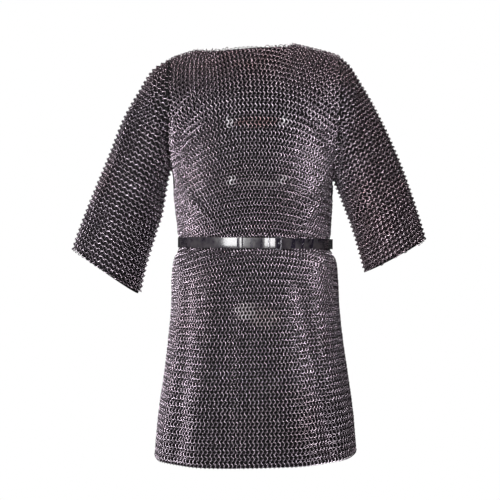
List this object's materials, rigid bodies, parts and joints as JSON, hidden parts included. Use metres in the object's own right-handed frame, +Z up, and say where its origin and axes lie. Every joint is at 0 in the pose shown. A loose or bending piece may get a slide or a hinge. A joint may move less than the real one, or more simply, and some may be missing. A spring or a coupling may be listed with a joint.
{
  "type": "chainmail hauberk with belt",
  "caption": "Long mail shirt with flared three-quarter sleeves, filled out as worn and hollow, closed at the waist by a thin leather belt with a metal buckle.",
  "frame": {"origin": "between the wearer's shoulders, level with the tops of the shoulders beside the neck", "axes": "+Z up, the front faces -Y, +X towards the wearer's left hand"},
  "size_m": [0.8268, 0.3647, 0.9724],
  "materials": {
    "mail": "woven rings of dark oiled steel wire, browned, with pale highlights",
    "belt_leather": "smooth black leather with a polished face",
    "buckle_metal": "bright plated steel with light wear"
  },
  "bodies": {
    "root": {"front_skirt": "mail", "front_belly": "mail", "front_chest": "mail", "back_skirt": "mail", "back_belly": "mail", "back_chest": "mail", "sleeve_left_upper": "mail", "sleeve_left_lower": "mail", "sleeve_right_upper": "mail", "sleeve_right_lower": "mail", "belt_strap": "belt_leather", "belt_keeper": "belt_leather", "buckle_frame": "buckle_metal", "buckle_prong": "buckle_metal"}
  },
  "joints": []
}
